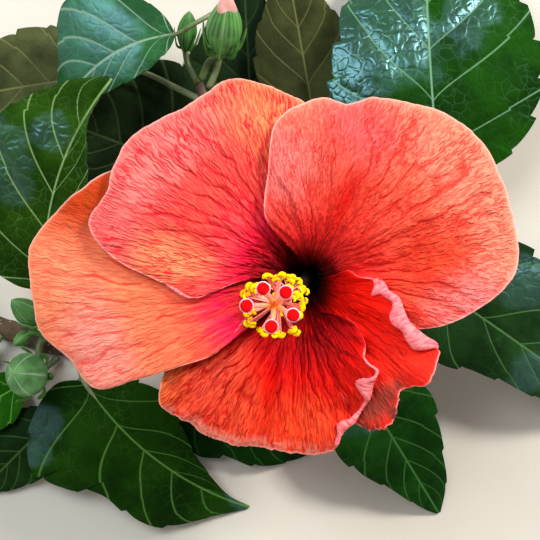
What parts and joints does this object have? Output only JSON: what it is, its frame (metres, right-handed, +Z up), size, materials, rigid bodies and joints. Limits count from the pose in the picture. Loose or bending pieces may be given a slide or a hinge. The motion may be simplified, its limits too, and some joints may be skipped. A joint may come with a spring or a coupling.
{
  "type": "hibiscus flowering branch",
  "caption": "Cut branch of a garden hibiscus with a large open bloom facing up, broad toothed leaves and closed buds, lying on a level surface.",
  "frame": {"origin": "centre of the underside of the bounding box, on the level surface that the branch lies on", "axes": "+Z up, the way the bloom faces; -X towards the cut end of the main stem; +Y towards the leaf behind the bloom's upper edge"},
  "size_m": [0.268, 0.2382, 0.1493],
  "materials": {
    "bark": "rough dark brown bark with a green tinge",
    "green_stem": "matt green young stem",
    "leaf": "glossy dark green leaf with paler veins",
    "old_leaf": "dull dark olive leaf",
    "young_leaf": "soft bright green leaf",
    "bud": "satin green with paler ribs",
    "coral_petal": "soft coral petal with darker veins and a magenta base",
    "red_petal": "soft orange-red petal with fine wrinkles",
    "column": "pink filaments with yellow anthers",
    "stigma": "velvety dark red pads on pink styles"
  },
  "bodies": {
    "root": {"main_stem": "bark", "flower_stalk": "green_stem", "right_twig": "green_stem", "top_twig": "bark", "top_bud_stalk": "green_stem", "small_bud_stalk": "green_stem", "left_shoot": "green_stem", "leaf_bottom_left": "leaf", "leaf_bottom_middle": "leaf", "leaf_bottom_right": "leaf", "leaf_right": "leaf", "leaf_top_right": "leaf", "leaf_left": "leaf", "leaf_top_left": "leaf", "leaf_far_left": "old_leaf", "leaf_top_middle": "old_leaf", "leaf_behind_top": "old_leaf", "leaf_behind_bud": "old_leaf", "leaf_young_left": "young_leaf", "leaf_lower_left": "old_leaf", "leaf_small_left": "young_leaf", "bud_top": "bud", "bud_top_small": "bud", "bud_left": "bud", "bud_left_upper": "bud", "bud_left_small": "bud", "bract_ring": "bud", "calyx": "bud", "petal_top_left": "coral_petal", "petal_top_right": "coral_petal", "petal_right": "red_petal", "petal_bottom": "red_petal", "petal_left": "coral_petal", "stamen_column": "column", "stigmas": "stigma"}
  },
  "joints": []
}
